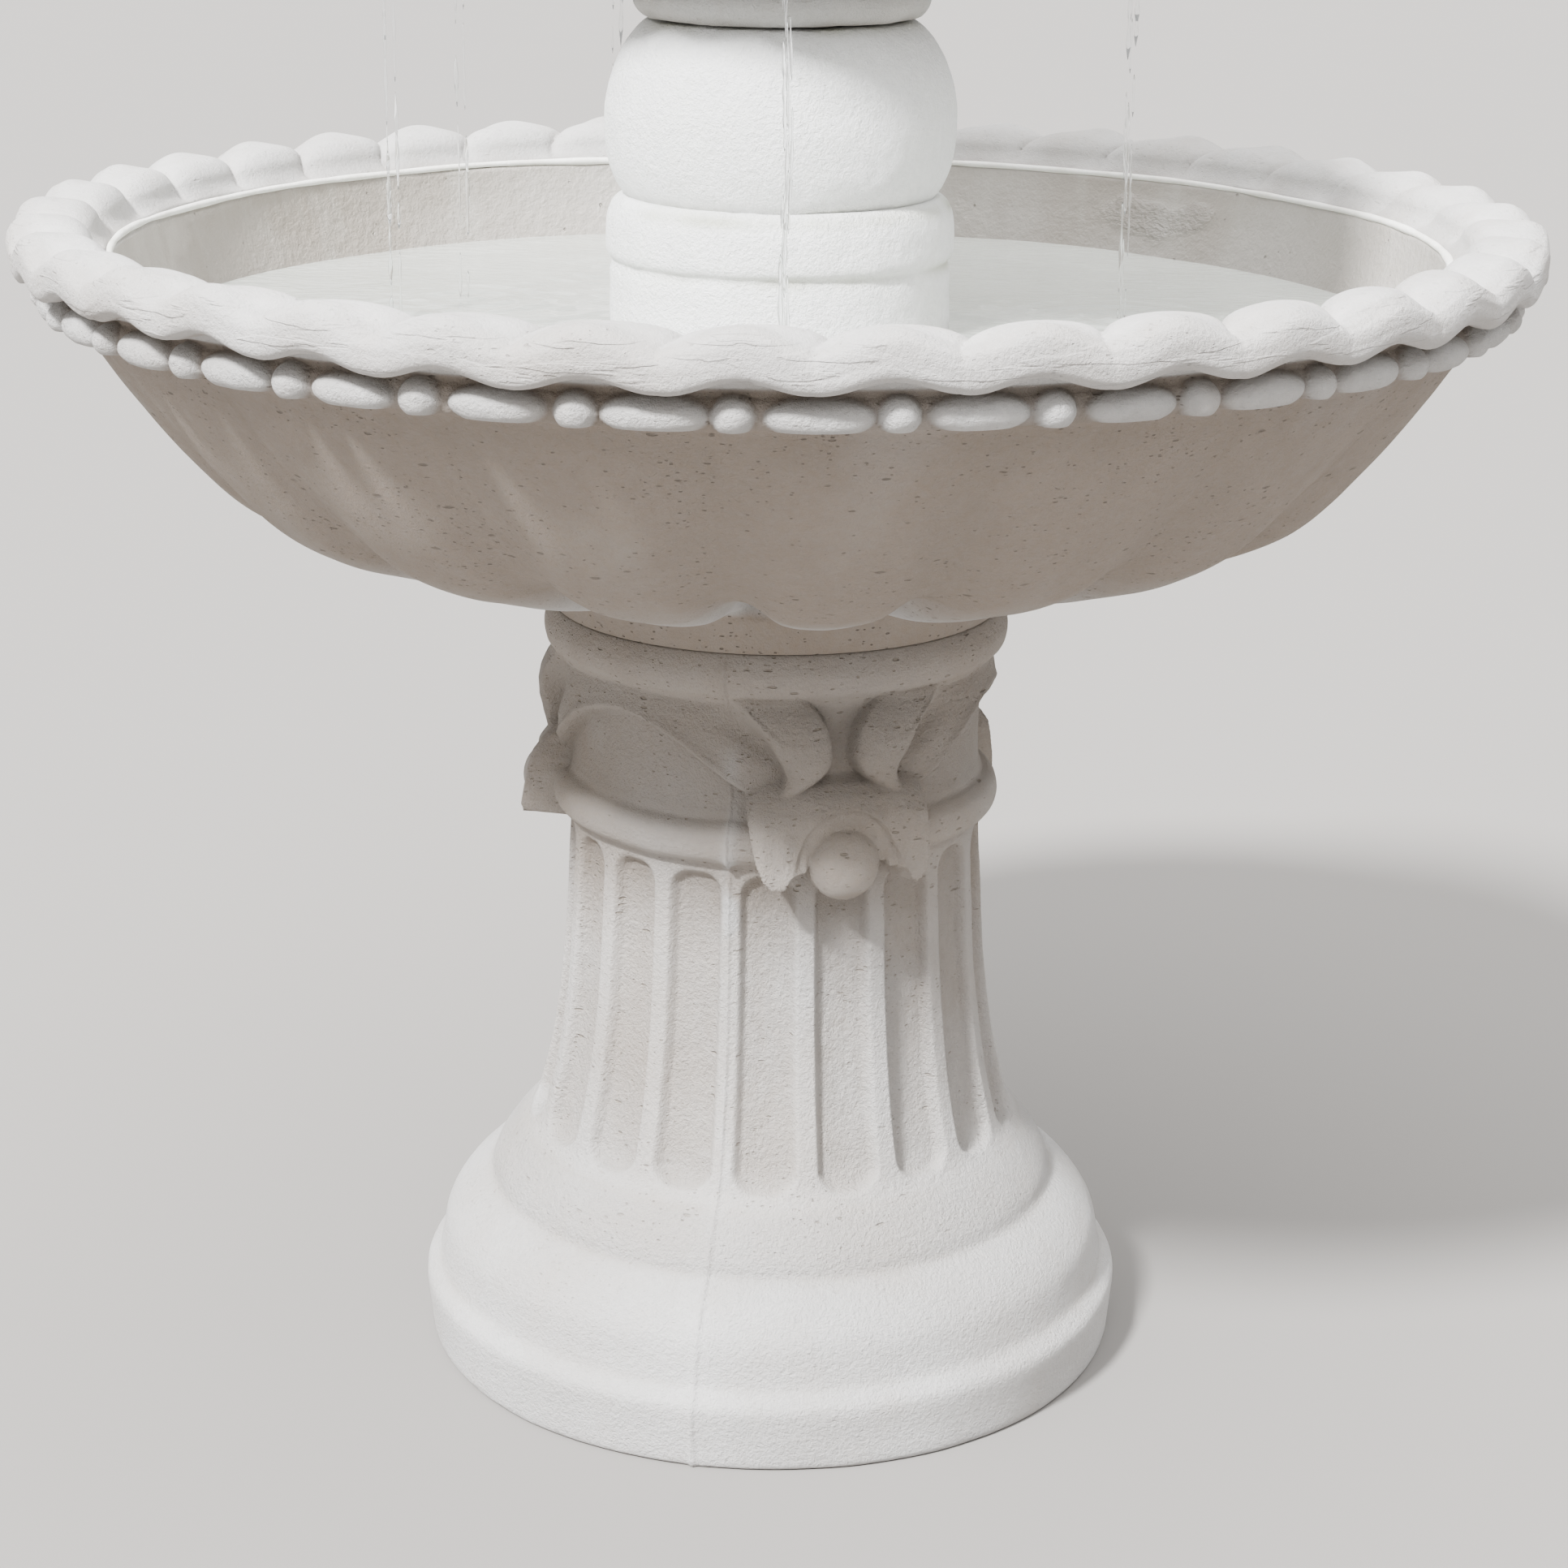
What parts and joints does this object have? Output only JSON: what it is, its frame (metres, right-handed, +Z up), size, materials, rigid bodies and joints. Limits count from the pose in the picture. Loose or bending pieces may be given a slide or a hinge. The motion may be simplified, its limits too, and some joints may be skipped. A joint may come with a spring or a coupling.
{
  "type": "two-tier garden fountain",
  "caption": "Free-standing cast-stone fountain and bird bath: fluted pedestal, wide lobed basin with rope rim and bead band, turned post, small upper bowl and hidden submersible pump.",
  "frame": {"origin": "centre of the pedestal's underside, on the ground", "axes": "+Z up along the fountain's axis, -Y towards the front"},
  "size_m": [0.86, 0.86, 1.0456],
  "materials": {
    "cast_stone": "matt off-white cast stone with pores and faint tan stains",
    "post_stone": "matt white cast stone, wet, with a faint green tint in the grooves",
    "wet_stone": "wet glossy grey-beige cast stone",
    "sealant": "white flexible sealant",
    "foam_rubber": "closed-cell foam rubber",
    "black_rubber": "soft black rubber",
    "pump_plastic": "black moulded plastic",
    "impeller_plastic": "white moulded plastic",
    "magnet_ferrite": "dark grey ferrite",
    "ceramic_shaft": "polished white ceramic",
    "filter_foam": "open-cell black foam",
    "clear_vinyl": "translucent vinyl hose",
    "spring_steel": "bright spring steel",
    "nozzle_brass": "weathered brass",
    "water": "clear rippled water"
  },
  "bodies": {
    "pedestal": {"pedestal": "cast_stone", "seat_gasket": "foam_rubber"},
    "lower_bowl": {"lower_bowl": "cast_stone", "bowl_liner": "wet_stone", "liner_seal": "sealant", "cord_grommet": "black_rubber", "pump_motor_housing": "pump_plastic", "cord_gland": "black_rubber", "pump_volute": "pump_plastic", "volute_o_ring": "black_rubber", "outlet_nipple": "pump_plastic", "riser_hose": "clear_vinyl", "hose_clamp": "spring_steel", "impeller_shaft": "ceramic_shaft", "shaft_bushings": "black_rubber", "suction_cups": "black_rubber"},
    "intake_cap": {"intake_cover": "pump_plastic", "intake_foam": "filter_foam"},
    "flow_dial": {"flow_dial": "impeller_plastic"},
    "impeller": {"impeller": "impeller_plastic", "rotor_magnet": "magnet_ferrite"},
    "drain_plug": {"drain_plug": "black_rubber"},
    "pump_cover": {"pump_cover": "post_stone"},
    "post_bulb": {"post_bulb": "post_stone"},
    "upper_bowl": {"upper_bowl": "cast_stone", "hose_grommet": "black_rubber"},
    "finial": {"finial": "post_stone", "spout_nozzle": "nozzle_brass"}
  },
  "joints": [
    {"name": "bowl_lift", "type": "slide", "parent": "pedestal", "child": "lower_bowl", "axis": [0, 0, 1], "range_m": [0, 0.06]},
    {"name": "cover_lift", "type": "slide", "parent": "lower_bowl", "child": "pump_cover", "axis": [0, 0, 1], "range_m": [0, 0.1]},
    {"name": "bulb_lift", "type": "slide", "parent": "pump_cover", "child": "post_bulb", "axis": [0, 0, 1], "range_m": [0, 0.06]},
    {"name": "upper_bowl_lift", "type": "slide", "parent": "post_bulb", "child": "upper_bowl", "axis": [0, 0, 1], "range_m": [0, 0.06]},
    {"name": "finial_lift", "type": "slide", "parent": "upper_bowl", "child": "finial", "axis": [0, 0, 1], "range_m": [0, 0.13]},
    {"name": "drain_plug_pull", "type": "slide", "parent": "lower_bowl", "child": "drain_plug", "axis": [0, 0, 1], "range_m": [0, 0.06]},
    {"name": "intake_cap_pull", "type": "slide", "parent": "lower_bowl", "child": "intake_cap", "axis": [0, -1, 0], "range_m": [0, 0.02]},
    {"name": "flow_dial_turn", "type": "hinge", "parent": "intake_cap", "child": "flow_dial", "pos_m": [0, -0.03, 0.556], "axis": [0, -1, 0], "range_deg": [0, 90]},
    {"name": "impeller_spin", "type": "hinge", "parent": "lower_bowl", "child": "impeller", "pos_m": [0, 0.02, 0.556], "axis": [0, 1, 0], "continuous": true}
  ]
}
